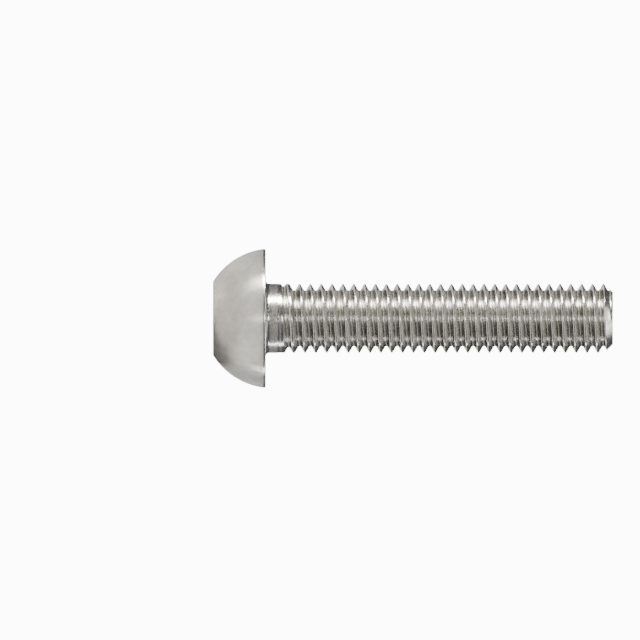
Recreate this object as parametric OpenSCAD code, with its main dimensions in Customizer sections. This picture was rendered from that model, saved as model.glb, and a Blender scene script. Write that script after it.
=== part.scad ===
// Button head machine screw with a six-lobe socket and a rolled metric thread.
// The bearing face under the head lies in the plane z = 0 and the screw's axis is Z.
// The threaded shank points up and the head, with its flat crown, hangs below z = 0.

/* [Thread] */
// Nominal diameter of the thread
thread_d = 8; // [5:0.5:12]
// Distance from one crest to the next
thread_pitch = 1.25; // [0.8:0.05:1.75]
// Length under the head, from the bearing face to the tip
screw_length = 40; // [16:1:60]
// Plain neck between the bearing face and the first trace of the thread
neck_length = 1.4; // [0.8:0.1:4]
// Length over which the groove deepens to its full depth
runout_length = 1.4; // [1:0.1:5]
// Length of the 45 degree chamfer at the tip
tip_chamfer = 1; // [0.5:0.05:1.5]

/* [Head] */
// Diameter of the head at the bearing face
head_d = 16; // [11:0.5:20]
// Height of the head, from the bearing face to the crown
head_h = 6.1; // [4.5:0.1:8]
// Diameter of the flat crown around the socket
crown_d = 8.5; // [7.7:0.1:11]
// Height of the straight edge below the dome
rim_h = 0.35; // [0.1:0.05:1]
// Radius of the fillet where the neck meets the bearing face
neck_fillet = 0.4; // [0.2:0.05:0.6]

/* [Socket] */
// Diameter over the tips of the six lobes
socket_d = 6.75; // [5:0.05:7.4]
// How far the lobes' tips reach outside the ribs that stand between them
lobe_depth = 0.95; // [0.75:0.05:1.05]
// Radius of each lobe's tip
lobe_r = 0.54; // [0.4:0.01:0.6]
// Depth of the lobes' floor below the crown
socket_depth = 2.9; // [2:0.1:3.4]
// Depth of the conical point below the lobes' floor
point_depth = 0.9; // [0.4:0.1:1.2]
// Diameter of the conical point at the lobes' floor
point_d = 3.4; // [2.4:0.1:4]
// How far the countersunk mouth reaches outside the tips of the lobes
mouth_margin = 0.275; // [0.1:0.025:0.5]
// Angle of the countersink, from one side to the other
mouth_angle = 108; // [90:1:120]

/* [Hidden] */

$fn = 96;
// Flat facets in one turn of the thread
turn_steps = 32;
// How far a cut runs past the face that it opens
cut_margin = 0.5;
// How far the threaded length reaches into the plain neck
neck_lap = 0.1;
// How far the crests stay inside the nominal diameter
crest_allowance = 0.02;
// The share of its full depth at which the groove begins
first_share = 0.12;
lobes = 6;
lobe_pitch = 360 / lobes;

// 60 degree thread, flat at its crests and roots
crest_flat = thread_pitch / 8;
root_flat = thread_pitch / 6;
flank_width = (thread_pitch - crest_flat - root_flat) / 2;
thread_depth = flank_width / tan(30);
thread_r = thread_d / 2;
crest_r = thread_r - crest_allowance;
root_r = crest_r - thread_depth;
tip_r = thread_r - tip_chamfer;

// The dome is part of a ball centred on the axis, through the top of the rim and the edge of the crown.
dome_centre = ((head_d ^ 2 - crown_d ^ 2) / 4 + rim_h ^ 2 - head_h ^ 2) / (2 * (head_h - rim_h));
dome_r = norm([crown_d / 2, head_h + dome_centre]);

// Each rib of the socket is an arc tangent to the two lobe tips beside it.
lobe_centre = socket_d / 2 - lobe_r;
waist_r = socket_d / 2 - lobe_depth;
half_pitch = lobe_pitch / 2;
rib_r = (lobe_r ^ 2 - lobe_centre ^ 2 - waist_r ^ 2 + 2 * lobe_centre * waist_r * cos(half_pitch))
      / (2 * (waist_r - lobe_centre * cos(half_pitch) - lobe_r));
rib_centre = waist_r + rib_r;

function on_circle(r, angle) = [r * cos(angle), r * sin(angle)];

// The point where a lobe tip's arc runs into the rib's arc on its anticlockwise side
tangent_point = let (
        lobe = [lobe_centre, 0],
        rib = on_circle(rib_centre, half_pitch)
    ) lobe + (rib - lobe) * lobe_r / (lobe_r + rib_r);

// Half outline of the head, the neck and the fillet between them
module head_outline() {
    intersection() {
        translate([0, dome_centre]) circle(r = dome_r);
        translate([0, -head_h]) square([head_d / 2, head_h]);
    }
    translate([0, -rim_h]) square([thread_r, rim_h + neck_length]);
    translate([thread_r, 0]) difference() {
        square(neck_fillet);
        translate([neck_fillet, neck_fillet]) circle(r = neck_fillet);
    }
}

// Cross-section of the socket: six round lobes joined by six arcs that bulge inwards
module lobe_outline() {
    difference() {
        union() {
            polygon([
                for (i = [0 : lobes - 1], side = [-1, 1])
                    let (angle = atan2(tangent_point.y, tangent_point.x))
                    on_circle(norm(tangent_point), i * lobe_pitch + side * angle)
            ]);
            for (i = [0 : lobes - 1])
                rotate(i * lobe_pitch) translate([lobe_centre, 0]) circle(r = lobe_r);
        }
        for (i = [0 : lobes - 1])
            rotate((i + 0.5) * lobe_pitch) translate([rib_centre, 0]) circle(r = rib_r);
    }
}

// Everything that the punch removes: the countersunk mouth, the lobes and the conical point.
// The countersink runs on down until it has trimmed the top of every rib. Two lobes lie along Y.
module socket() {
    mouth_slope = tan(mouth_angle / 2);
    wide_r = socket_d / 2 + mouth_margin + cut_margin * mouth_slope;
    narrow_r = waist_r - cut_margin / 2;
    translate([0, 0, -head_h]) {
        translate([0, 0, -cut_margin])
            cylinder(h = (wide_r - narrow_r) / mouth_slope, r1 = wide_r, r2 = narrow_r);
        translate([0, 0, -cut_margin])
            linear_extrude(height = socket_depth + cut_margin) rotate(half_pitch) lobe_outline();
        translate([0, 0, socket_depth]) cylinder(h = point_depth, d1 = point_d, d2 = 0);
    }
}

// The thread is one skin of columns and rows. A column runs up the shank at one angle. Its rows
// are where it crosses each turn: one edge of the root, the two of the crest, the root's next edge.
thread_start = neck_length + neck_lap;
thread_end = screw_length + thread_pitch;
turns = ceil((thread_end - thread_start) / thread_pitch) + 2;
rows = 4 * turns;

// Along the run-out the groove keeps its 60 degree form, so it narrows as it gets shallower.
function groove_share(z) = min(1, max(first_share, (z - thread_start) / runout_length));
function row_height(column, row) =
    let (
        low_root = thread_start + thread_pitch * (column / turn_steps + floor(row / 4) - 1),
        high_root = low_root + thread_pitch - root_flat
    )
    [
        low_root,
        low_root + flank_width * groove_share(low_root),
        high_root - flank_width * groove_share(high_root),
        high_root
    ][row % 4];
function row_radius(row, z) =
    row % 4 == 1 || row % 4 == 2 ? crest_r : crest_r - thread_depth * groove_share(z);
function skin_point(column, row) =
    let (z = row_height(column, row), at = on_circle(row_radius(row, z), 360 * column / turn_steps))
    [at.x, at.y, z];
function ring(r, z) = [
    for (column = [0 : turn_steps - 1])
        let (at = on_circle(r, 360 * column / turn_steps)) [at.x, at.y, z]
];

// The points are the columns one by one, then the start ring, the end ring and the collar's foot.
start_ring = rows * turn_steps;
end_ring = start_ring + turn_steps;
foot_ring = end_ring + turn_steps;

// Past either end of the thread every point of a column is the one point on that end's ring.
function skin_index(column, row) =
    column == turn_steps ? skin_index(0, row + 4)
    : let (z = row_height(column, row))
      z <= thread_start ? start_ring + column
    : z >= thread_end ? end_ring + column
    : column * rows + row;
function distinct(face) = face[0] != face[1] && face[1] != face[2] && face[2] != face[0];

module thread_skin() {
    points = concat(
        [for (column = [0 : turn_steps - 1], row = [0 : rows - 1]) skin_point(column, row)],
        ring(crest_r, thread_start),
        ring(root_r, thread_end),
        ring(crest_r, neck_length - neck_lap)
    );
    skin = [
        for (column = [0 : turn_steps - 1], row = [0 : rows - 6])
            let (
                a = skin_index(column, row),
                b = skin_index(column + 1, row),
                c = skin_index(column + 1, row + 1),
                d = skin_index(column, row + 1)
            )
            for (face = [[a, d, c], [a, c, b]]) if (distinct(face)) face
    ];
    collar = [
        for (column = [0 : turn_steps - 1])
            let (next = (column + 1) % turn_steps)
            [foot_ring + column, start_ring + column, start_ring + next, foot_ring + next]
    ];
    bottom = [for (column = [0 : turn_steps - 1]) foot_ring + column];
    top = [for (column = [turn_steps - 1 : -1 : 0]) end_ring + column];
    polyhedron(points = points, faces = concat(skin, collar, [bottom, top]));
}

// Half outline of the rod that gives the tip its chamfer and its flat end
module tip_outline() {
    rod_r = thread_r + cut_margin;
    polygon([
        [0, 0],
        [rod_r, 0],
        [rod_r, screw_length - (rod_r - tip_r)],
        [tip_r, screw_length],
        [0, screw_length]
    ]);
}

module screw() color("silver") {
    difference() {
        union() {
            rotate_extrude() head_outline();
            intersection() {
                thread_skin();
                rotate_extrude() tip_outline();
            }
        }
        socket();
    }
}

screw();
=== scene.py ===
# %% [markdown]
# # A button head machine screw
# The real screw is one piece of stainless steel wire. A press heads it cold, a punch drives the six-lobe
# socket into the head, and two dies roll the thread on, so its whole surface is one unbroken skin. This
# lesson makes that skin as one closed mesh. It works from the inside of the socket out over the head, up
# the thread and in again over the tip, with every shape computed as whole numpy arrays.

import bpy
import numpy as np
from mathutils import Matrix, Vector


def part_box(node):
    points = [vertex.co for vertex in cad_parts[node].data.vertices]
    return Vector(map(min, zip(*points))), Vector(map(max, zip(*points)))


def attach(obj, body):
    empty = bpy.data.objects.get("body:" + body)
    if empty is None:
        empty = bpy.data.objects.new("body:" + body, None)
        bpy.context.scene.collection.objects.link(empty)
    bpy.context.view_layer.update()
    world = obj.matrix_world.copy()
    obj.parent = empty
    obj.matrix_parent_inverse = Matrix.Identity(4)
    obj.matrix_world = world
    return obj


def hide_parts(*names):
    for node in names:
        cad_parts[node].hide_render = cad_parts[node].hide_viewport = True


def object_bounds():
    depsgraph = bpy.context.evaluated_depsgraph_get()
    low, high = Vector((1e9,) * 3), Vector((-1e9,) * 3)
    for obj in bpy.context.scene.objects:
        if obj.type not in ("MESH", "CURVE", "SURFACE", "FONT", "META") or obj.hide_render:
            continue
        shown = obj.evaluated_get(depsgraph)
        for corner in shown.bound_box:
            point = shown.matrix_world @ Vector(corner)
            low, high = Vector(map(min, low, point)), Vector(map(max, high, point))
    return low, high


MM = 0.001

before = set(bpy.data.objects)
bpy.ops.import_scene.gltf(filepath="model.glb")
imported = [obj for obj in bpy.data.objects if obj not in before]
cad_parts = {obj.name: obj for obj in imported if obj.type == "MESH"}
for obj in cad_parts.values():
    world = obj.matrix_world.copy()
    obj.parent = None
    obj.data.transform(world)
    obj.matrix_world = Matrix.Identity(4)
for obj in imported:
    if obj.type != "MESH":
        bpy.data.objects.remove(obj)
cad_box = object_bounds()
print("packed nodes:", *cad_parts)
print("solid model, lowest and highest corner in mm:", *[np.round(np.array(c) / MM, 2) for c in cad_box])

# %% [markdown]
# ## The camera comes first
# The reference shows the screw from the side, in the flat view of a technical drawing, with the head on the
# left. The screw stands upright on its head here, so the camera looks along +Y and is rolled by a quarter
# turn: its right is the screw's +Z. A long lens from far away would come close to such a view, but only an
# orthographic camera has no perspective at all, as a drawing has none.

# %% Camera
# In the reference's pixels: its width and the screw's length, and where the axis and the bearing face lie,
# from the top and from the left, when the crown and the tip stand on the drawn ones.
IMAGE_PX = 640
SCREW_PX = 400.2
AXIS_PX = 318.3
BEARING_PX = 265.8
CAMERA_DISTANCE = 400 * MM

metres_per_px = (cad_box[1][2] - cad_box[0][2]) / SCREW_PX
camera_data = bpy.data.cameras.new("drawing_camera")
camera_data.type = "ORTHO"
camera_data.ortho_scale = IMAGE_PX * metres_per_px
camera = bpy.data.objects.new("drawing_camera", camera_data)
centre_z = (IMAGE_PX / 2 - BEARING_PX) * metres_per_px
centre_x = (IMAGE_PX / 2 - AXIS_PX) * metres_per_px
right, up, back = Vector((0, 0, 1)), Vector((-1, 0, 0)), Vector((0, -1, 0))
rolled = Matrix((right, up, back)).transposed().to_4x4()
camera.matrix_world = Matrix.Translation((centre_x, -CAMERA_DISTANCE, centre_z)) @ rolled
bpy.context.scene.collection.objects.link(camera)
bpy.context.scene.camera = camera
print("the picture is", round(camera_data.ortho_scale / MM, 2), "mm wide")

# %% [markdown]
# ## Sizes
# The solid model's box gives the sizes that can be read from it. The rest repeat the values of the part's
# source: an 8 mm thread of 1.25 mm pitch, a domed head and a socket 6.75 mm over its lobes. All lengths are
# in millimetres until the mesh is made.

# %% Sizes of the screw in millimetres
low, high = [np.array(c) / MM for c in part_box("screw")]
HEAD_R, HEAD_H, LENGTH = high[0], -low[2], high[2]
# The thread, the plain neck below it, the height over which its groove deepens, and the bevelled tip
THREAD_R, PITCH = 4.0, 1.25
NECK_LENGTH, RUNOUT_LENGTH, TIP_CHAMFER = 1.4, 1.4, 1.0
# How far the crests stay inside the thread's radius, and how far above the neck the groove begins
CREST_ALLOWANCE, NECK_LAP = 0.02, 0.1
# The head's flat crown, its straight rim and the fillet under it
CROWN_R, RIM_H, NECK_FILLET = 4.25, 0.35, 0.4
# How far the socket's lobes reach from the axis, how round their tips are, and how near the ribs come
LOBE_TIP_R, LOBE_R, WAIST_R = 3.375, 0.54, 2.425
# The depth of the socket's floor, the conical point below it, and the countersink at the mouth
SOCKET_DEPTH, POINT_DEPTH, POINT_R = 2.9, 0.9, 1.7
MOUTH_MARGIN, MOUTH_ANGLE = 0.275, np.radians(108)
print(f"head {2 * HEAD_R:.2f} by {HEAD_H:.2f} mm, length under the head {LENGTH:.2f} mm")

# %% [markdown]
# ## The outline of the socket
# A six-lobe socket is twelve arcs: six round lobe tips, and between them six ribs that bulge inwards, each
# tangent to the two tips beside it. One sixth of it is sampled evenly along its arcs, half a tip, a rib and
# half a tip, and turned six times. That gives 120 points, and every ring of the screw has as many, so all
# rings can be joined by plain strips of faces. Two of the lobes lie along Y, so one rib faces +X.

# %% Socket outline
LOBES = 6
TIP_STEPS, RIB_STEPS = 12, 8
COLUMNS = LOBES * (TIP_STEPS + RIB_STEPS)

# A rib touches the tips beside it where its centre is as far from a tip's centre as both radii together.
sixth = 2 * np.pi / LOBES
tip_centre = LOBE_TIP_R - LOBE_R
rib_r = (LOBE_R**2 - tip_centre**2 - WAIST_R**2 + 2 * tip_centre * WAIST_R * np.cos(sixth / 2)) / (
    2 * (WAIST_R - tip_centre * np.cos(sixth / 2) - LOBE_R)
)
rib_centre = (WAIST_R + rib_r) * np.array([np.cos(sixth / 2), np.sin(sixth / 2)])


def socket_outline():
    """Points on the outline, and the directions that lead away from its inside, as arrays of [x, y] rows.

    On a tip the point is the tip's centre plus its radius in the outward direction. On a rib the outward
    direction leads to the rib's own centre, which lies in the metal, so the point is that centre minus
    the rib's radius in that direction. The rows begin at the middle of the rib that faces +X.
    """
    to_rib = rib_centre - np.array([tip_centre, 0])
    meet = np.arctan2(to_rib[1], to_rib[0])
    tip = np.linspace(0, meet, TIP_STEPS // 2 + 1)
    rib = np.linspace(meet, sixth - meet, RIB_STEPS + 1)[1:]
    next_tip = np.linspace(sixth - meet, sixth, TIP_STEPS // 2 + 1)[1:-1]
    ways = [np.stack([np.cos(a), np.sin(a)], axis=1) for a in (tip, rib, next_tip)]
    next_centre = tip_centre * np.array([np.cos(sixth), np.sin(sixth)])
    points = np.concatenate(
        [
            np.array([tip_centre, 0]) + LOBE_R * ways[0],
            rib_centre - rib_r * ways[1],
            next_centre + LOBE_R * ways[2],
        ]
    )
    outward = np.concatenate(ways)
    spins = (np.arange(LOBES) - 0.5) * sixth
    spin = np.array([[np.cos(spins), -np.sin(spins)], [np.sin(spins), np.cos(spins)]])
    all_round = [np.einsum("abk,pb->kpa", spin, p).reshape(-1, 2) for p in (points, outward)]
    return [np.roll(p, -COLUMNS // LOBES // 2, axis=0) for p in all_round]


outline, outline_out = socket_outline()
outline_r = np.linalg.norm(outline, axis=1)
outline_angle = np.unwrap(np.arctan2(outline[:, 1], outline[:, 0]))
even_angle = np.arange(COLUMNS) * 2 * np.pi / COLUMNS
print(len(outline), "points, from radius", outline_r.min().round(3), "to", outline_r.max().round(3), "mm")

# %% [markdown]
# ## The path over the head
# The head could be turned from a profile with the Spin tool, but the socket isn't round. So the skin is a
# stack of rings, and a ring may be a circle or the socket's outline, and may rise and fall. The path starts
# at the deepest point of the socket. Pressed metal has no sharp edges, so a small curve rounds each corner,
# and a ring close beside every bend keeps the flat faces flat when the mesh is shaded smoothly.

# %% Rings and rounded corners
CROWN_Z = -HEAD_H
FLOOR_Z = CROWN_Z + SOCKET_DEPTH
MOUTH_R = LOBE_TIP_R + MOUTH_MARGIN
# How far from a bend the ring beside it lies
BESIDE = 0.05


def ring(radius, angle, height):
    """Points at x = radius times cos(angle), y = radius times sin(angle) and z = height.

    Each value is one number, or one for every column, or a column of one for every ring.
    """
    radius, angle, height = np.broadcast_arrays(radius, angle, height)
    return np.stack([radius * np.cos(angle), radius * np.sin(angle), height], axis=-1)


def turned(profile):
    """A stack of circles, one for each [radius, height] row of the profile."""
    profile = np.array(profile, dtype=float)
    return ring(profile[:, :1], even_angle, profile[:, 1:])


def rounded(start, corner, end, steps=4):
    """Points on the curve (1 - t)^2 start + 2t(1 - t) corner + t^2 end, as t goes from 0 to 1."""
    t = np.linspace(0, 1, steps + 1).reshape(-1, *[1] * np.ndim(start))
    return (1 - t) ** 2 * np.array(start) + 2 * t * (1 - t) * np.array(corner) + t**2 * np.array(end)


def arc(centre, radius, start, end, steps):
    """Profile points at centre + radius times [sin(a), -cos(a)], as the angle a goes from start to end."""
    a = np.linspace(start, end, steps + 1)
    return np.array(centre) + radius * np.stack([np.sin(a), -np.cos(a)], axis=1)


def mouth_height(radius):
    """Height of the countersink at a radius: the crown's, plus the way in from its edge over tan(54)."""
    return CROWN_Z + (MOUTH_R - radius) / np.tan(MOUTH_ANGLE / 2)


def beside_outline(offset, height):
    """The socket's outline at a height, moved outwards by an offset."""
    flat = outline + np.asarray(offset)[..., None] * outline_out
    return np.concatenate([flat, np.broadcast_to(height, flat.shape[:-1])[..., None]], axis=-1)


print(f"the mouth has a radius of {MOUTH_R:.2f} mm, and the floor lies at z = {FLOOR_Z:.2f} mm")

# %% The socket, from its deepest point up its wall
# How round the point, the wall's foot and its upper edge are, in millimetres. The rings on the point are
# given by their radii, and those on the wall by their shares of its height.
POINT_ROUNDING = 0.12
FOOT_R, FOOT_STEPS = 0.12, 3
WALL_EDGE = 0.06
POINT_RINGS = (0.12, 0.4, 0.8, 1.2)
WALL_SHARES = (0.03, 0.35, 0.65, 0.97)

# The point is a cone with a round tip: its height follows the hypotenuse of the radius and the rounding.
point_r = np.array([*POINT_RINGS, POINT_R - BESIDE])
point_z = FLOOR_Z + POINT_DEPTH * (1 - np.hypot(point_r, POINT_ROUNDING) / POINT_R)
point_rings = ring(point_r[:, None], outline_angle, point_z[:, None])
floor_ring = ring(POINT_R + BESIDE, outline_angle, FLOOR_Z)
floor_edge = beside_outline(-FOOT_R - BESIDE, FLOOR_Z)
foot_turn = np.linspace(0, np.pi / 2, FOOT_STEPS + 1)[:, None]
foot_rings = beside_outline(FOOT_R * (np.sin(foot_turn) - 1), FLOOR_Z - FOOT_R * (1 - np.cos(foot_turn)))

wall_top = mouth_height(outline_r)
wall_share = np.array(WALL_SHARES)[:, None]
wall_z = (FLOOR_Z - FOOT_R) * (1 - wall_share) + (wall_top + WALL_EDGE) * wall_share
wall_rings = beside_outline(np.zeros_like(wall_z), wall_z)
wall_depth = np.round(wall_top - CROWN_Z, 2)
print("the wall ends", wall_depth.min(), "to", wall_depth.max(), "mm below the crown")

# %% The socket's mouth, from the wall out to the crown
# The rings on the countersink are given by their shares of the way outwards.
MOUTH_EDGE = 0.08
MOUTH_SHARES = (0.06, 0.35, 0.65, 0.94)

edge_r = outline_r + WALL_EDGE
edge_rings = rounded(
    beside_outline(0.0, wall_top + WALL_EDGE),
    beside_outline(0.0, wall_top),
    ring(edge_r, outline_angle, mouth_height(edge_r)),
)

mouth_share = np.array(MOUTH_SHARES)[:, None]
mouth_r = edge_r * (1 - mouth_share) + (MOUTH_R - MOUTH_EDGE) * mouth_share
mouth_turn = outline_angle * (1 - mouth_share) + even_angle * mouth_share
mouth_rings = ring(mouth_r, mouth_turn, mouth_height(mouth_r))
mouth_edge = turned(
    rounded(
        [MOUTH_R - MOUTH_EDGE, mouth_height(MOUTH_R - MOUTH_EDGE)],
        [MOUTH_R, CROWN_Z],
        [MOUTH_R + MOUTH_EDGE, CROWN_Z],
    )
)
socket_rings = [point_rings, floor_ring, floor_edge, foot_rings]
socket_rings += [wall_rings, edge_rings, mouth_rings, mouth_edge]
socket_rings = np.concatenate([r.reshape(-1, COLUMNS, 3) for r in socket_rings])
print(len(socket_rings), "rings from the deepest point out to the crown")

# %% [markdown]
# The dome is part of a ball whose centre lies on the axis. A circle through the top of the rim and the edge
# of the crown gives it. A small circle rounds the crown's edge. It touches the crown and lies inside the
# ball, so its centre is one small radius above the crown, and as far from the ball's centre as the ball's
# radius less the small one.

# %% The dome, the rim, the bearing face and the neck
# How round two edges are, with the steps on each curve, and the radii of two rings on the bearing face
CROWN_EDGE, CROWN_EDGE_STEPS = 0.25, 5
RIM_EDGE, RIM_EDGE_STEPS = 0.15, 4
DOME_STEPS, FILLET_STEPS = 22, 5
BEARING_RINGS = (6.8, 5.6)

ball_z = (HEAD_R**2 - CROWN_R**2 + RIM_H**2 - HEAD_H**2) / (2 * (HEAD_H - RIM_H))
ball_r = np.hypot(CROWN_R, HEAD_H + ball_z)
edge_z = CROWN_Z + CROWN_EDGE
edge_centre = [np.sqrt((ball_r - CROWN_EDGE) ** 2 - (ball_z - edge_z) ** 2), edge_z]
edge_turn = np.arctan2(edge_centre[0], ball_z - edge_z)
rim_turn = np.arctan2(HEAD_R, ball_z + RIM_H)
thread_start = NECK_LENGTH + NECK_LAP
crest_r = THREAD_R - CREST_ALLOWANCE

crown_edge = arc(edge_centre, CROWN_EDGE, 0, edge_turn, CROWN_EDGE_STEPS)
dome = arc([0, ball_z], ball_r, edge_turn, rim_turn, DOME_STEPS)[1:]
rim_edge = arc([HEAD_R - RIM_EDGE, -RIM_EDGE], RIM_EDGE, np.pi / 2, np.pi, RIM_EDGE_STEPS)
fillet = arc([THREAD_R + NECK_FILLET, NECK_FILLET], NECK_FILLET, 0, -np.pi / 2, FILLET_STEPS)
head_profile = np.concatenate(
    [
        [[MOUTH_R + MOUTH_EDGE + BESIDE, CROWN_Z], [edge_centre[0] - BESIDE, CROWN_Z]],
        crown_edge,
        dome,
        [[HEAD_R, -RIM_H + BESIDE], [HEAD_R, -RIM_EDGE - BESIDE / 2]],
        rim_edge,
        [[r, 0] for r in (HEAD_R - RIM_EDGE - BESIDE, *BEARING_RINGS, THREAD_R + NECK_FILLET + BESIDE)],
        fillet,
        [[THREAD_R, NECK_FILLET + BESIDE], [THREAD_R, NECK_LENGTH - BESIDE], [THREAD_R, NECK_LENGTH]],
        [[crest_r, thread_start]],
    ]
)
head_rings = np.concatenate([socket_rings, turned(head_profile)])
print(f"the dome's ball has a radius of {ball_r:.2f} mm; {len(head_rings)} rings from socket to neck")

# %% [markdown]
# ## The rolled thread
# Two dies press the thread into the wire, so a groove isn't cut but sunk, with a round root, and it fades
# in over the run-out at the neck. A Screw modifier would make neither the fading start nor the chamfered
# end. Here the thread is a sheet of rows and columns: a column runs up the shank at one angle, and its rows
# follow the groove's profile once for each turn. After a whole turn a row has climbed by one pitch, so the
# last column is the first one with every row moved on by one turn's rows.

# %% Rows and columns of the thread
ROOT_FLAT, CREST_FLAT = PITCH / 6, PITCH / 8
CREST_EDGE = 0.06
FLANK = np.radians(30)
# The smallest share of the groove's depth that still has room for its round root
FIRST_SHARE = 0.12
# Turns of the table that lie below the thread's start, and as many past the tip
SPARE_TURNS = 2
TIP_R = THREAD_R - TIP_CHAMFER

# A pitch is one root, one crest and two flanks. The root's circle touches its flat and both flanks.
groove_depth = (PITCH - CREST_FLAT - ROOT_FLAT) / 2 / np.tan(FLANK)
root_rounding = ROOT_FLAT / 2 * np.cos(FLANK) / (1 - np.sin(FLANK))
thread_turns = int(np.ceil((LENGTH - thread_start) / PITCH)) + 2 * SPARE_TURNS


def groove_profile(depth):
    """Half a groove: distances from its middle, and depths below the crests, for each depth of groove.

    The root is a circle that touches both flanks, so it turns through 60 degrees to the flank. A small
    circle rounds the crest's corner through the same 60 degrees, and is smaller where the groove has no
    room for it. Half the gap between two crests is half the root's flat plus the depth times tan(30), and
    the rounding ends its radius times tan(30) beyond it.
    """
    corner = np.minimum(CREST_EDGE, depth - root_rounding * (1 - np.cos(np.pi / 3)))
    gap = ROOT_FLAT / 2 + depth * np.tan(FLANK) + corner * np.tan(FLANK)
    bend = np.radians([0, 30, 60]).reshape(-1, *[1] * depth.ndim)
    root = [root_rounding * np.sin(bend) + 0 * depth, depth - root_rounding * (1 - np.cos(bend))]
    crest = [gap - corner * np.sin(bend[::-1]), corner * (1 - np.cos(bend[::-1]))]
    middle = [(root[i][-1:] + crest[i][:1]) / 2 for i in range(2)]
    return [np.concatenate([root[i], middle[i], crest[i]]) for i in range(2)]


column_turn = np.arange(COLUMNS + 1) / COLUMNS
turn = column_turn + np.arange(thread_turns)[:, None] - SPARE_TURNS
groove_z = thread_start - ROOT_FLAT / 2 + PITCH * turn
share = np.clip((groove_z - thread_start) / RUNOUT_LENGTH, 0, 1)
away, below = groove_profile(groove_depth * np.maximum(share, FIRST_SHARE))
# Below its first share the groove keeps that form and only gets shallower.
below = below * np.minimum(1, share / FIRST_SHARE)

# One more row runs along the middle of the crest, halfway between the grooves beside it.
crest_z = (groove_z[:-1] + away[-1, :-1] + groove_z[1:] - away[-1, 1:]) / 2
crest_z = np.concatenate([crest_z, crest_z[-1:] + PITCH])
row_z = np.concatenate([groove_z - away[:0:-1], groove_z + away, crest_z[None]])
row_r = crest_r - np.concatenate([below[:0:-1], below, np.zeros_like(crest_z)[None]])
rows_per_turn = len(row_z)
row_z, row_r = [np.swapaxes(r, 0, 1).reshape(-1, COLUMNS + 1) for r in (row_z, row_r)]
print(f"groove {groove_depth:.3f} mm deep, root radius {root_rounding:.3f} mm, {rows_per_turn} rows a turn")

# %% [markdown]
# ## The chamfer at the tip
# The wire's end is bevelled before the thread is rolled. The bevel is a cone, and a thread that crosses it
# loses its crests there. Blender could cut it with a Boolean, which leaves long thin faces. Instead, every
# point outside the cone goes back onto it. A point whose neighbour in the column is inside goes to the very
# place where the line between them passes through the cone, so the cut edge stays crisp.

# %% Trim the thread with the cone
# The chosen rows are just outside the cone, after a row that is inside it or before one.
excess = row_r + row_z - TIP_R - LENGTH
inside = excess <= 0
after_inside = ~inside & np.pad(inside[:-1], ((1, 0), (0, 0)))
before_inside = ~inside & ~after_inside & np.pad(inside[1:], ((0, 1), (0, 0)))


def moved_to_cone(values, chosen, step):
    """How far to move the chosen rows' values along the line to the row step away, to reach the cone.

    A point's excess is its radius plus its height, less that sum on the cone. It changes evenly along the
    line, so the share of the line is the excess at its start over the difference between its ends.
    """
    change = np.where(chosen, excess - np.roll(excess, -step, axis=0), 1)
    return np.where(chosen, excess / change * (np.roll(values, -step, axis=0) - values), 0)


trimmed_z = row_z + moved_to_cone(row_z, after_inside, -1) + moved_to_cone(row_z, before_inside, 1)
trimmed_r = np.where(inside, row_r, TIP_R + LENGTH - trimmed_z)
moved = ~inside & (row_z < LENGTH)
print("rows and columns:", row_z.shape, "points moved to the cone:", moved.sum())

# %% [markdown]
# ## One closed skin
# Now the stacks are joined. A table holds the number of the point at each row and column. Where the thread
# passes below its start or above its end, the table holds the numbers of the ring there instead, so the
# rows gather in it, and faces that this leaves with three different corners become triangles. The first
# and the last row of the table are a single point each, which closes the skin.

# %% The points of the stacks, and the two single points last
TIP_EDGE, TIP_EDGE_STEPS = 0.04, 3
TIP_RINGS = (2.2, 1.4, 0.7)

tip_edge = rounded(
    [TIP_R + TIP_EDGE, LENGTH - TIP_EDGE],
    [TIP_R, LENGTH],
    [TIP_R - TIP_EDGE, LENGTH],
    TIP_EDGE_STEPS,
)
tip_face = [[r, LENGTH] for r in (TIP_R - TIP_EDGE - BESIDE, *TIP_RINGS)]
tip_profile = np.concatenate([tip_edge, tip_face])
thread_points = ring(trimmed_r[:, :-1], even_angle, trimmed_z[:, :-1])
stacks = [head_rings, thread_points, turned(tip_profile)]
starts = np.cumsum([0] + [len(s) * COLUMNS for s in stacks])
deepest = FLOOR_Z + POINT_DEPTH * (1 - POINT_ROUNDING / POINT_R)
skin_points = np.concatenate([s.reshape(-1, 3) for s in stacks] + [[[0, 0, deepest], [0, 0, LENGTH]]])
print("points in the head, the thread and the tip:", *np.diff(starts))

# %% The table of points
# Rows that come this near to the ring at either end of the thread gather in it.
GATHER = 0.03

head_table, thread_table, tip_table = [
    start + np.arange(len(s) * COLUMNS).reshape(-1, COLUMNS) for start, s in zip(starts, stacks)
]
thread_table = np.where(trimmed_z[:, :-1] < thread_start + GATHER, head_table[-1], thread_table)
thread_table = np.where(trimmed_z[:, :-1] > LENGTH - TIP_EDGE - GATHER, tip_table[0], thread_table)
last_column = np.concatenate([thread_table[rows_per_turn:, 0], np.full(rows_per_turn, tip_table[0, 0])])
skin_table = np.concatenate(
    [
        np.full((1, COLUMNS + 1), starts[-1]),
        np.column_stack([head_table, head_table[:, 0]]),
        np.column_stack([thread_table, last_column]),
        np.column_stack([tip_table, tip_table[:, 0]]),
        np.full((1, COLUMNS + 1), starts[-1] + 1),
    ]
)
print("rows and columns of the table:", skin_table.shape)


# %% Faces between the rows and the columns
def skin_faces(table):
    """Faces between neighbouring rows and columns of the table, as corners of quads and of triangles.

    A face with four different corners stays a quad. Where two neighbouring corners are one point, it
    becomes a triangle, and where more are, it is left out.
    """
    corners = [table[:-1, :-1], table[:-1, 1:], table[1:, 1:], table[1:, :-1]]
    faces = np.stack(corners, axis=-1).reshape(-1, 4)
    same = faces == np.roll(faces, -1, axis=1)
    once = same.sum(axis=1) == 1
    return faces[~same.any(axis=1)], faces[once][~same[once]].reshape(-1, 3)


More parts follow.
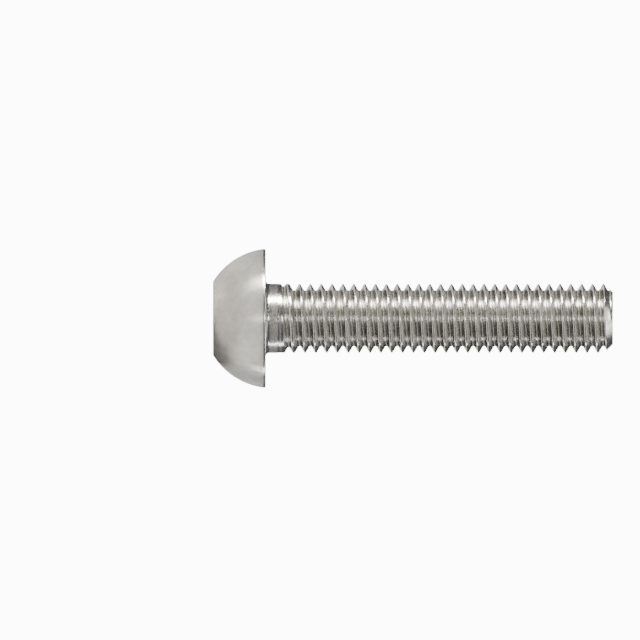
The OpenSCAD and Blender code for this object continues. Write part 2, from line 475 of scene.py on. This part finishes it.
quads, triangles = skin_faces(skin_table)
print(len(quads), "faces with four corners and", len(triangles), "with three")


# %% Make the screw from it
def make_mesh(name, points_mm, *groups):
    """A mesh in metres from points in millimetres, without the points that no face uses."""
    used, corners = np.unique(np.concatenate([g.ravel() for g in groups]), return_inverse=True)
    cuts = np.cumsum([g.size for g in groups])[:-1]
    faces = [f for g, c in zip(groups, np.split(corners, cuts)) for f in c.reshape(g.shape).tolist()]
    mesh = bpy.data.meshes.new(name)
    mesh.from_pydata(points_mm[used] * MM, [], faces)
    mesh.polygons.foreach_set("use_smooth", np.ones(len(faces), dtype=bool))
    return mesh


def volume_mm3(mesh):
    """Volume inside a closed mesh: the sum of a . (b x c) / 6 over its triangles of corners a, b and c."""
    mesh.calc_loop_triangles()
    places = np.zeros(len(mesh.vertices) * 3)
    mesh.vertices.foreach_get("co", places)
    corners = np.zeros(len(mesh.loop_triangles) * 3, dtype=np.int32)
    mesh.loop_triangles.foreach_get("vertices", corners)
    a, b, c = places.reshape(-1, 3)[corners.reshape(-1, 3)].transpose(1, 0, 2)
    return np.einsum("ij,ij->", a, np.cross(b, c)) / 6 / MM**3


screw_mesh = make_mesh("machine_screw", skin_points, quads, triangles)
screw = bpy.data.objects.new("machine_screw", screw_mesh)
bpy.context.scene.collection.objects.link(screw)
print(len(screw_mesh.vertices), "points around", round(volume_mm3(screw_mesh), 1), "cubic millimetres")

# %% [markdown]
# ## The steel
# Stainless screws leave the thread rolls with a bright skin and are tumbled clean with ceramic chips. To
# the eye that gives a satin head that mirrors its surroundings softly, with a fine even grain, slight
# clouds, and a few hairlines and knocks from other screws. The thread keeps fine streaks along the way the
# dies rolled it, and its crests are brighter than its roots, which hold a trace of dull lubricant. The punch
# leaves lines down the socket's walls, and the tool that points the wire leaves rings on the chamfer and
# the end. A painted image could show all this, but it would have to be wrapped round the thread. Nodes that
# read Object coordinates need no wrapping and stay sharp in a close view, so the marks are made of them.


# %% Helpers for materials
def linear(hex_colour):
    """An sRGB hex value as linear colour: c / 12.92 if dark, else ((c + 0.055) / 1.055) to the power 2.4."""
    c = np.array([int(hex_colour[i : i + 2], 16) / 255 for i in (1, 3, 5)])
    return (*np.where(c <= 0.04045, c / 12.92, ((c + 0.055) / 1.055) ** 2.4), 1.0)


def add_node(tree, kind, inputs=None, output=0, **settings):
    """Adds a node and returns one of its outputs. An input that is given an output is linked to it."""
    node = tree.nodes.new(kind)
    for name, value in settings.items():
        setattr(node, name, value)
    for name, value in (inputs or {}).items():
        if isinstance(value, bpy.types.NodeSocket):
            tree.links.new(value, node.inputs[name])
        else:
            node.inputs[name].default_value = value
    return node.outputs[output] if len(node.outputs) else None


print("a mid grey of #808080 is", linear("#808080")[0].round(3), "as linear colour")

# %% Where a point of the steel lies, in millimetres
steel = bpy.data.materials.new("tumbled_stainless_steel")
steel.use_nodes = True
tree = steel.node_tree
tree.nodes.clear()

in_metres = add_node(tree, "ShaderNodeTexCoord", output="Object")
in_mm = add_node(tree, "ShaderNodeVectorMath", {0: in_metres, "Scale": 1 / MM}, operation="SCALE")
height = add_node(tree, "ShaderNodeSeparateXYZ", {0: in_mm}, output="Z")
across = add_node(tree, "ShaderNodeVectorMath", {0: in_mm, 1: (1, 1, 0)}, operation="MULTIPLY")
from_axis = add_node(tree, "ShaderNodeVectorMath", {0: across}, output="Value", operation="LENGTH")
around = add_node(tree, "ShaderNodeVectorMath", {0: across}, operation="NORMALIZE")
print(len(tree.nodes), "nodes give a point's height, its distance from the axis and its direction from it")

# %% [markdown]
# The patterns are soft noise, whose lumps measure one unit, in a space that is scaled so that a lump has
# the size of the real mark. The noise of the thread's streaks is squeezed along the height and from the
# axis, and wound round it by reading only the direction from it. Real tumbling grain, rolling streaks and
# hairlines are finer than a twentieth of a millimetre. Here they are drawn several times as wide, and no
# wider than they need to be to show.

# %% Places in the noise for streaks, punch lines and tool rings
STREAK_WIDTH_MM, STREAK_LENGTH_MM = 0.16, 4.0
PUNCH_LINE_WIDTH_MM, PUNCH_LINE_LENGTH_MM = 0.18, 3.0
TOOL_RING_MM = 0.12

wound = add_node(
    tree, "ShaderNodeVectorMath", {0: around, "Scale": THREAD_R / STREAK_LENGTH_MM}, operation="SCALE"
)
steps_up = add_node(tree, "ShaderNodeMath", {0: height, 1: STREAK_WIDTH_MM}, operation="DIVIDE")
steps_out = add_node(tree, "ShaderNodeMath", {0: from_axis, 1: STREAK_WIDTH_MM}, operation="DIVIDE")
upwards = add_node(tree, "ShaderNodeCombineXYZ", {"Z": steps_up})
streak_place = add_node(tree, "ShaderNodeVectorMath", {0: wound, 1: upwards}, operation="ADD")
punch_sizes = (PUNCH_LINE_WIDTH_MM, PUNCH_LINE_WIDTH_MM, PUNCH_LINE_LENGTH_MM)
inputs = {"Vector": in_mm, "Scale": punch_sizes}
punch_place = add_node(tree, "ShaderNodeMapping", inputs, vector_type="TEXTURE")
slope = add_node(tree, "ShaderNodeMath", {0: from_axis, 1: height}, operation="SUBTRACT")
ring_steps = add_node(tree, "ShaderNodeMath", {0: slope, 1: TOOL_RING_MM}, operation="DIVIDE")
print("a streak is", STREAK_WIDTH_MM, "by", STREAK_LENGTH_MM, "mm, and a tool ring", TOOL_RING_MM, "mm wide")

# %% Patterns that swing from about -1 to 1
# Nearly all values of a noise lie between the low and the high one.
GRAIN_MM, MOTTLE_MM, CLOUD_MM = 0.25, 0.8, 3.0
NOISE_LOW, NOISE_HIGH = 0.3, 0.7

NOISES = {
    "grain": ("3D", {"Vector": in_mm, "Scale": 1 / GRAIN_MM}),
    "mottle": ("3D", {"Vector": in_mm, "Scale": 1 / MOTTLE_MM}),
    "clouds": ("3D", {"Vector": in_mm, "Scale": 1 / CLOUD_MM}),
    "streaks": ("4D", {"Vector": streak_place, "W": steps_out, "Scale": 1.0}),
    "punch_lines": ("3D", {"Vector": punch_place, "Scale": 1.0}),
    "tool_rings": ("1D", {"W": ring_steps, "Scale": 1.0}),
}
swing = {}
for name, (dimensions, inputs) in NOISES.items():
    noise = add_node(tree, "ShaderNodeTexNoise", inputs | {"Detail": 2.0}, noise_dimensions=dimensions)
    ends = {"Value": noise, "From Min": NOISE_LOW, "From Max": NOISE_HIGH, "To Min": -1.0, "To Max": 1.0}
    swing[name] = add_node(tree, "ShaderNodeMapRange", ends, clamp=False)
print("patterns:", *swing)

# %% Hairlines and knocks, 1 on a mark and 0 beside it
HAIRLINE_WIDTH_MM, HAIRLINE_LENGTH_MM = 0.05, 2.5
# The ways that hairlines run, as turns about X, Y and Z in radians
HAIRLINE_TURNS = ((1.2, 0.3, 0.0), (-0.7, 1.0, 0.5), (0.2, -1.4, 1.1))
# A hairline is a peak of noise: the values where it begins and is full
HAIRLINE_START, HAIRLINE_FULL = 0.70, 0.76
# How far apart the knocks lie, and how far from its middle a knock's edge and its floor are
KNOCK_SPACING_MM, KNOCK_EDGE_MM, KNOCK_FLOOR_MM = 1.6, 0.26, 0.08

hairline_sizes = (HAIRLINE_WIDTH_MM, HAIRLINE_WIDTH_MM, HAIRLINE_LENGTH_MM)
hairlines = 0.0
for turns in HAIRLINE_TURNS:
    inputs = {"Vector": in_mm, "Rotation": turns, "Scale": hairline_sizes}
    hairline_place = add_node(tree, "ShaderNodeMapping", inputs, vector_type="TEXTURE")
    noise = add_node(tree, "ShaderNodeTexNoise", {"Vector": hairline_place, "Scale": 1.0, "Detail": 1.0})
    ends = {"Value": noise, "From Min": HAIRLINE_START, "From Max": HAIRLINE_FULL}
    one_way = add_node(tree, "ShaderNodeMapRange", ends)
    hairlines = add_node(tree, "ShaderNodeMath", {0: hairlines, 1: one_way}, operation="MAXIMUM")

from_knock = add_node(tree, "ShaderNodeTexVoronoi", {"Vector": in_mm, "Scale": 1 / KNOCK_SPACING_MM})
ends = {
    "Value": from_knock,
    "From Min": KNOCK_EDGE_MM / KNOCK_SPACING_MM,
    "From Max": KNOCK_FLOOR_MM / KNOCK_SPACING_MM,
}
knocks = add_node(tree, "ShaderNodeMapRange", ends)
print("hairlines run", len(HAIRLINE_TURNS), "ways, and knocks lie about", KNOCK_SPACING_MM, "mm apart")

# %% [markdown]
# No mark covers the whole screw, so each is held to its zone. A zone could be a part of the mesh with a
# material of its own, but then its edge would be as jagged as the faces. Here it is the product of a few
# edges, and an edge is a measure, such as the height, with the values where the zone begins and is full.

# %% Zones of the screw, 1 inside a zone and 0 outside it
# The distances over which the thread's and the socket's zones fade in
THREAD_FADE, SOCKET_FADE = 0.3, 0.15
# How deep the bright skin of a crest is, and how near to a cut face a point counts as on it
CREST_SKIN, CUT_SKIN = 0.08, 0.02
# Heights above the socket's deepest point, which keep the shank out of the socket's zone
SOCKET_TOP, SOCKET_FULL = -1.0, -1.5

slant = add_node(tree, "ShaderNodeMath", {0: from_axis, 1: height}, operation="ADD")
cone = TIP_R + LENGTH
above_neck = (height, NECK_LENGTH, NECK_LENGTH + THREAD_FADE)
ZONES = {
    "thread": [above_neck],
    "groove": [above_neck, (from_axis, crest_r - CREST_SKIN, crest_r - groove_depth)],
    "socket": [(from_axis, MOUTH_R, MOUTH_R - SOCKET_FADE), (height, SOCKET_TOP, SOCKET_FULL)],
    "chamfer": [(slant, cone + side * 2 * CUT_SKIN, cone + side * CUT_SKIN) for side in (-1, 1)],
    "end": [(height, LENGTH - 2 * CUT_SKIN, LENGTH - CUT_SKIN)],
}
zone = {}
for name, edges in ZONES.items():
    zone[name] = 1.0
    for value, start, full in edges:
        edge = add_node(tree, "ShaderNodeMapRange", {"Value": value, "From Min": start, "From Max": full})
        zone[name] = add_node(tree, "ShaderNodeMath", {0: zone[name], 1: edge}, operation="MULTIPLY")


def layered(start, *rows):
    """A start plus the product of each row, which holds an amount and then zones and patterns."""
    for amount, *factors, last in rows:
        for factor in factors:
            amount = add_node(tree, "ShaderNodeMath", {0: amount, 1: factor}, operation="MULTIPLY")
        start = add_node(tree, "ShaderNodeMath", {0: amount, 1: last, 2: start}, operation="MULTIPLY_ADD")
    return start


zone["smooth"] = layered(1.0, (-1.0, zone["thread"]), (-1.0, zone["socket"]))
print("zones:", *zone)

# %% Colour, paler in the clouds, duller in the roots, and darker in the socket as painted shade
# A Mix node has sockets for each kind of value: inputs 6 and 7 are its colours, and output 2 is their mix.
lightness = layered(0.5, (0.29, swing["mottle"]), (0.29, swing["clouds"]), (0.25, swing["grain"]))
# How far the colour goes to the dull steel: lubricant in the roots, punch lines, hairlines and knocks, and
# painted shade over the whole socket.
dullness_and_painted_shade = layered(
    0.0,
    (0.55, zone["groove"]),
    # Painted shade: the whole socket is darkened, as the recess that shade falls into.
    (0.40, zone["socket"]),
    (0.20, zone["socket"], swing["punch_lines"]),
    (0.30, zone["smooth"], hairlines),
    (0.15, zone["smooth"], knocks),
)
bright_steel, pale_steel, dull_and_shaded_steel = linear("#C0BDB6"), linear("#D8D6D1"), linear("#8E8A82")
clean = add_node(tree, "ShaderNodeMix", {0: lightness, 6: bright_steel, 7: pale_steel}, 2, data_type="RGBA")
colour = add_node(tree, "ShaderNodeMix", {0: dullness_and_painted_shade, 6: clean, 7: dull_and_shaded_steel}, 2, data_type="RGBA")
print("steel colour, linear:", *[np.round(c[:3], 3) for c in (dull_and_shaded_steel, bright_steel, pale_steel)])

# %% Roughness, and relief in millimetres
roughness = layered(
    0.20,
    (0.03, swing["clouds"]),
    (0.035, swing["grain"]),
    (0.055, zone["thread"], swing["streaks"]),
    (0.08, zone["groove"]),
    (0.08, zone["socket"]),
    (0.10, zone["smooth"], hairlines),
)
relief_mm = layered(
    0.0,
    (0.0008, swing["grain"]),
    (0.002, zone["smooth"], swing["mottle"]),
    (0.0012, zone["thread"], swing["streaks"]),
    (0.002, zone["socket"], swing["punch_lines"]),
    (0.0012, zone["chamfer"], swing["tool_rings"]),
    (0.0012, zone["end"], swing["tool_rings"]),
    (-0.015, zone["smooth"], knocks),
    (-0.002, zone["smooth"], hairlines),
)
relief = add_node(tree, "ShaderNodeBump", {"Height": relief_mm, "Distance": MM, "Strength": 1.0})
print("roughness and relief take the material to", len(tree.nodes), "nodes")

# %% The finished steel
surface = {"Base Color": colour, "Metallic": 1.0, "Roughness": roughness, "Normal": relief}
shader = add_node(tree, "ShaderNodeBsdfPrincipled", surface)
add_node(tree, "ShaderNodeOutputMaterial", {"Surface": shader})
screw_mesh.materials.append(steel)
print("finish:", steel.name, "with", len(tree.nodes), "nodes")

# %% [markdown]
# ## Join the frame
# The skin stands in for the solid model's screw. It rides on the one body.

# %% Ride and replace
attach(screw, "root")
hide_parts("screw")
print(screw.name, "rides on root and replaces the solid screw")

# %% [markdown]
# ## Floor and light
# Bright metal is as light or dark as what it mirrors. The screw stands on its crown on a sheet of pale
# acrylic, which was cast between plates of glass and then rubbed down, so its gloss is soft. In the camera's
# view the sheet is edge-on and can't be seen, but the whole dome mirrors it, and in its gloss the lights. A
# picture of a studio could light the scene, but plain area lights show what each of them does. The room is
# dim, and the lights are few and soft, so that every turn of the thread has a bright and a dark side.

# %% Floor
FLOOR_SIZE = 3.0

sheet = bpy.data.materials.new("pale_acrylic_sheet")
sheet.use_nodes = True
sheet_shader = sheet.node_tree.nodes["Principled BSDF"]
sheet_shader.inputs["Base Color"].default_value = linear("#E9E8E5")
sheet_shader.inputs["Roughness"].default_value = 0.22

corners = FLOOR_SIZE / 2 * np.array([[-1, -1], [1, -1], [1, 1], [-1, 1]])
floor_mesh = bpy.data.meshes.new("floor")
floor_mesh.from_pydata(np.column_stack([corners, np.full(4, CROWN_Z * MM)]), [], [(0, 1, 2, 3)])
floor_mesh.materials.append(sheet)
floor = bpy.data.objects.new("floor", floor_mesh)
bpy.context.scene.collection.objects.link(floor)
print(f"the floor is {FLOOR_SIZE} m wide, at a height of {CROWN_Z:.2f} mm")

# %% Lights
SCREW_MIDDLE = Vector((0, 0, 0.017))


def soft_light(name, place, width, length, watts, hex_colour="#FFFFFF"):
    """A rectangular light, in metres and watts, that faces the middle of the screw.

    Its length lies as near to upright as it can.
    """
    data = bpy.data.lights.new(name, "AREA")
    data.shape = "RECTANGLE"
    data.size, data.size_y = width, length
    data.energy = watts
    data.color = linear(hex_colour)[:3]
    light = bpy.data.objects.new(name, data)
    facing = (Vector(place) - SCREW_MIDDLE).to_track_quat("Z", "Y")
    light.matrix_world = Matrix.Translation(place) @ facing.to_matrix().to_4x4()
    bpy.context.scene.collection.objects.link(light)


# In the picture the key draws the bright band along the top of the shank, the front light the line along
# its middle and the edge light the one along its bottom. The chamfer, and all else that faces the tip,
# mirrors the overhead light and the ceiling, which also lights the floor evenly.
soft_light("key", (-0.60, -0.28, 0.18), 0.20, 0.37, 13.0, "#FFFDF8")
soft_light("front", (0.0, -0.66, 0.33), 0.09, 0.36, 1.6)
soft_light("overhead", (0.06, 0.24, 0.63), 0.30, 0.24, 2.7)
soft_light("edge", (0.64, 0.08, 0.14), 0.06, 0.30, 0.8, "#F4F8FF")
soft_light("ceiling", (0.1, 0.2, 1.2), 0.9, 0.9, 5.0)
print("lights:", *[light.name for light in bpy.data.lights])

# %% [markdown]
# The drawing stands on white paper, so the backdrop is white too, but only for the camera. A Light Path node
# keeps it out of the steel, which would lose its dark sides in so much white.

# %% A dim room with a white backdrop
ROOM_STRENGTH, BACKDROP_STRENGTH = 0.14, 12.0

world = bpy.data.worlds.new("studio")
world.use_nodes = True
world_tree = world.node_tree
world_tree.nodes.clear()
room = {"Color": linear("#E6EAEE"), "Strength": ROOM_STRENGTH}
paper = {"Color": linear("#FFFFFF"), "Strength": BACKDROP_STRENGTH}
dim_room = add_node(world_tree, "ShaderNodeBackground", room)
backdrop = add_node(world_tree, "ShaderNodeBackground", paper)
seen = add_node(world_tree, "ShaderNodeLightPath", output="Is Camera Ray")
studio = add_node(world_tree, "ShaderNodeMixShader", {0: seen, 1: dim_room, 2: backdrop})
add_node(world_tree, "ShaderNodeOutputWorld", {"Surface": studio})
bpy.context.scene.world = world
print("the steel mirrors a strength of", ROOM_STRENGTH, "where the camera sees", BACKDROP_STRENGTH)
